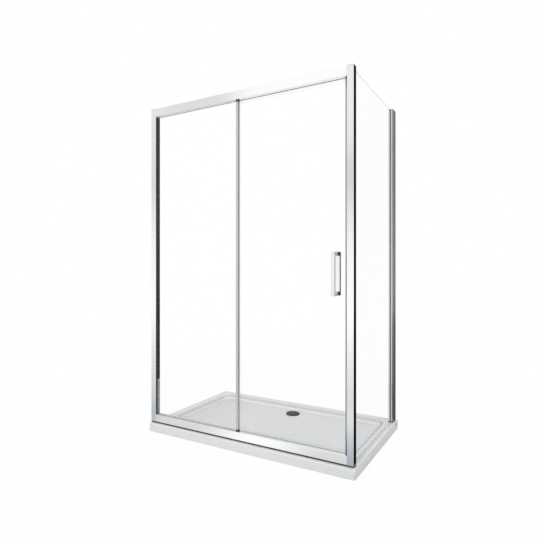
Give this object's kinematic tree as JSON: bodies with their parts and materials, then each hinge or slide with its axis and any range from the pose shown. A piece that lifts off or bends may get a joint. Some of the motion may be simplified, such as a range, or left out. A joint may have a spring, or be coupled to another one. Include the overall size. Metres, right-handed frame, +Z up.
{
  "type": "corner shower enclosure",
  "caption": "Framed corner shower enclosure on a low tray, with a fixed pane, a sliding glass door with a bar handle, a frameless side pane and a lift-out drain cover.",
  "frame": {"origin": "centre of the tray's underside, on the floor", "axes": "+X to the right along the front, +Y from the front to the back wall, +Z up"},
  "size_m": [1.3, 0.8, 1.95],
  "materials": {
    "tray": "white gloss acrylic over stone resin",
    "chrome": "polished chrome plate",
    "bright_aluminium": "bright polished, chrome effect",
    "clear_glass": "clear toughened, polished edges",
    "clear_pvc": "clear plastic, soft in the seals and hard in the guide shoes",
    "grey_pvc": "grey soft PVC",
    "black_rubber": "matt black",
    "magnet_strip": "rubber-bonded ferrite",
    "nylon": "natural nylon",
    "steel": "stainless",
    "cap_plastic": "chrome-coloured plastic",
    "waste_plastic": "white ABS",
    "black_plastic": "moulded, satin black",
    "dark_metal": "dark polished"
  },
  "bodies": {
    "enclosure": {"shower_tray": "tray", "waste_flange": "chrome", "head_rail": "bright_aluminium", "sill_rail": "bright_aluminium", "wall_stile": "bright_aluminium", "wall_channel": "bright_aluminium", "corner_post": "bright_aluminium", "meeting_profile": "bright_aluminium", "side_stile": "bright_aluminium", "side_wall_channel": "bright_aluminium", "sill_infill": "bright_aluminium", "head_infill": "bright_aluminium", "fixed_glass": "clear_glass", "side_glass": "clear_glass", "side_base_seal": "clear_pvc", "strike_seal": "grey_pvc", "head_gaskets": "grey_pvc", "sill_gaskets": "grey_pvc", "post_gaskets": "grey_pvc", "side_gaskets": "grey_pvc", "base_seal": "black_rubber", "side_foot": "black_rubber", "waste_gasket": "black_rubber", "stile_gaskets": "black_rubber", "strike_magnet": "magnet_strip", "track_stop_left": "nylon", "track_stop_right": "nylon", "setting_blocks": "nylon", "stile_rail_screws": "steel", "post_rail_screws": "steel", "stile_screws": "steel", "side_stile_screws": "steel", "stile_cap": "cap_plastic", "post_cap": "cap_plastic", "side_stile_cap": "cap_plastic", "waste_nut": "waste_plastic", "meeting_ends": "black_plastic"},
    "door": {"door_glass": "clear_glass", "door_top_wipers": "clear_pvc", "door_overlap_seal": "clear_pvc", "door_magnetic_seal": "grey_pvc", "door_magnet": "magnet_strip", "door_bottom_seal": "clear_pvc", "guide_shoe_left": "clear_pvc", "guide_shoe_right": "clear_pvc", "roller_axle_left": "steel", "roller_axle_right": "steel", "roller_bushes": "nylon", "handle_outside": "chrome", "handle_inside": "chrome", "handle_bolts": "steel", "handle_washers": "clear_pvc"},
    "roller_left": {"roller_wheels_left": "nylon"},
    "roller_right": {"roller_wheels_right": "nylon"},
    "drain_insert": {"drain_cover": "dark_metal", "hair_trap": "waste_plastic"}
  },
  "joints": [
    {"name": "door_slide", "type": "slide", "parent": "enclosure", "child": "door", "axis": [-1, 0, 0], "range_m": [0, 0.53]},
    {"name": "roller_left_spin", "type": "hinge", "parent": "door", "child": "roller_left", "pos_m": [0.062, -0.355, 1.917], "axis": [0, -1, 0], "range_deg": [-10, 2780]},
    {"name": "roller_right_spin", "type": "hinge", "parent": "door", "child": "roller_right", "pos_m": [0.5047, -0.355, 1.917], "axis": [0, -1, 0], "range_deg": [-10, 2780]},
    {"name": "drain_lift", "type": "slide", "parent": "enclosure", "child": "drain_insert", "axis": [0, 0, 1], "range_m": [0, 0.06]}
  ],
  "couplings": [
    {"joint": "roller_left_spin", "follows": "door_slide", "rad_per_m": 90.909},
    {"joint": "roller_right_spin", "follows": "door_slide", "rad_per_m": 90.909}
  ]
}
